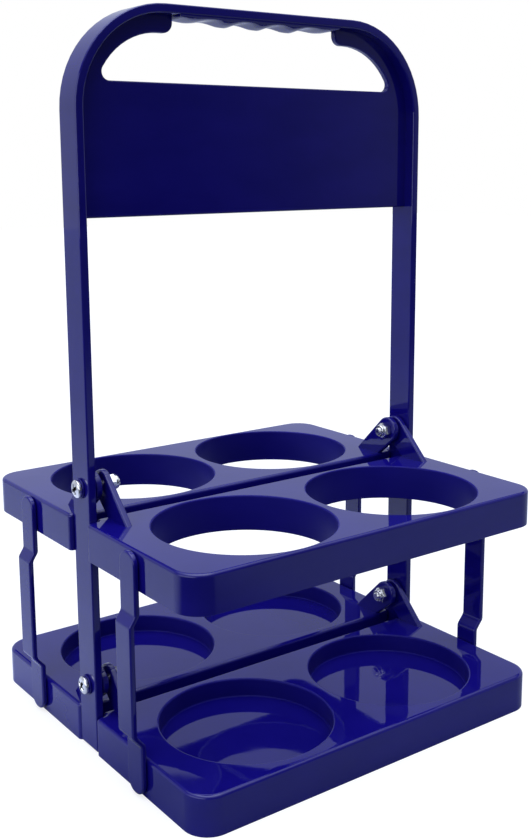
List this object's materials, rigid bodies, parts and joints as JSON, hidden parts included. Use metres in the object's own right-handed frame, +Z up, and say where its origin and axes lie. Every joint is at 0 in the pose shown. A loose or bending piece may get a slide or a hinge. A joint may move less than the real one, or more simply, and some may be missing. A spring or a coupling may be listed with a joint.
{
  "type": "bottle carrier",
  "caption": "Folding bottle carrier with a flat moulded handle frame, ring trays above cup trays, drop links and bolted hinges; each side folds up beside the handle.",
  "frame": {"origin": "on the ground, under the middle of the handle", "axes": "+Z up, X along the handle, the front trays on the -Y side and the back trays on the +Y side"},
  "size_m": [0.2056, 0.1836, 0.3254],
  "materials": {
    "blue_plastic": "polished moulded plastic, deep royal blue",
    "steel": "bright zinc plated"
  },
  "bodies": {
    "frame": {"handle_frame": "blue_plastic", "upper_left_bolt": "steel", "upper_right_bolt": "steel", "lower_left_bolt": "steel", "lower_right_bolt": "steel", "upper_left_washer": "blue_plastic", "upper_right_washer": "blue_plastic", "lower_left_washer": "blue_plastic", "lower_right_washer": "blue_plastic", "upper_left_nut": "steel", "upper_right_nut": "steel", "lower_left_nut": "steel", "lower_right_nut": "steel"},
    "front_upper": {"front_upper_tray": "blue_plastic"},
    "front_lower": {"front_lower_tray": "blue_plastic"},
    "back_upper": {"back_upper_tray": "blue_plastic"},
    "back_lower": {"back_lower_tray": "blue_plastic"},
    "front_left_drop": {"front_left_link": "blue_plastic"},
    "front_right_drop": {"front_right_link": "blue_plastic"},
    "back_left_drop": {"back_left_link": "blue_plastic"},
    "back_right_drop": {"back_right_link": "blue_plastic"}
  },
  "joints": [
    {"name": "front_upper_tray_hinge", "type": "hinge", "parent": "frame", "child": "front_upper", "pos_m": [0, 0, 0.1212], "axis": [-1, 0, 0], "range_deg": [0, 90]},
    {"name": "front_lower_tray_hinge", "type": "hinge", "parent": "frame", "child": "front_lower", "pos_m": [0, 0, 0.0305], "axis": [-1, 0, 0], "range_deg": [0, 90]},
    {"name": "front_left_link_pivot", "type": "hinge", "parent": "front_upper", "child": "front_left_drop", "pos_m": [-0.0977, -0.047, 0.0995], "axis": [-1, 0, 0], "range_deg": [-90, 0]},
    {"name": "front_right_link_pivot", "type": "hinge", "parent": "front_upper", "child": "front_right_drop", "pos_m": [0.0977, -0.047, 0.0995], "axis": [-1, 0, 0], "range_deg": [-90, 0]},
    {"name": "back_upper_tray_hinge", "type": "hinge", "parent": "frame", "child": "back_upper", "pos_m": [0, 0, 0.1212], "axis": [1, 0, 0], "range_deg": [0, 90]},
    {"name": "back_lower_tray_hinge", "type": "hinge", "parent": "frame", "child": "back_lower", "pos_m": [0, 0, 0.0305], "axis": [1, 0, 0], "range_deg": [0, 90]},
    {"name": "back_left_link_pivot", "type": "hinge", "parent": "back_upper", "child": "back_left_drop", "pos_m": [-0.0977, 0.047, 0.0995], "axis": [1, 0, 0], "range_deg": [-90, 0]},
    {"name": "back_right_link_pivot", "type": "hinge", "parent": "back_upper", "child": "back_right_drop", "pos_m": [0.0977, 0.047, 0.0995], "axis": [1, 0, 0], "range_deg": [-90, 0]}
  ],
  "couplings": [
    {"joint": "front_lower_tray_hinge", "follows": "front_upper_tray_hinge", "ratio": 1},
    {"joint": "front_left_link_pivot", "follows": "front_upper_tray_hinge", "ratio": -1},
    {"joint": "front_right_link_pivot", "follows": "front_upper_tray_hinge", "ratio": -1},
    {"joint": "back_lower_tray_hinge", "follows": "back_upper_tray_hinge", "ratio": 1},
    {"joint": "back_left_link_pivot", "follows": "back_upper_tray_hinge", "ratio": -1},
    {"joint": "back_right_link_pivot", "follows": "back_upper_tray_hinge", "ratio": -1}
  ]
}
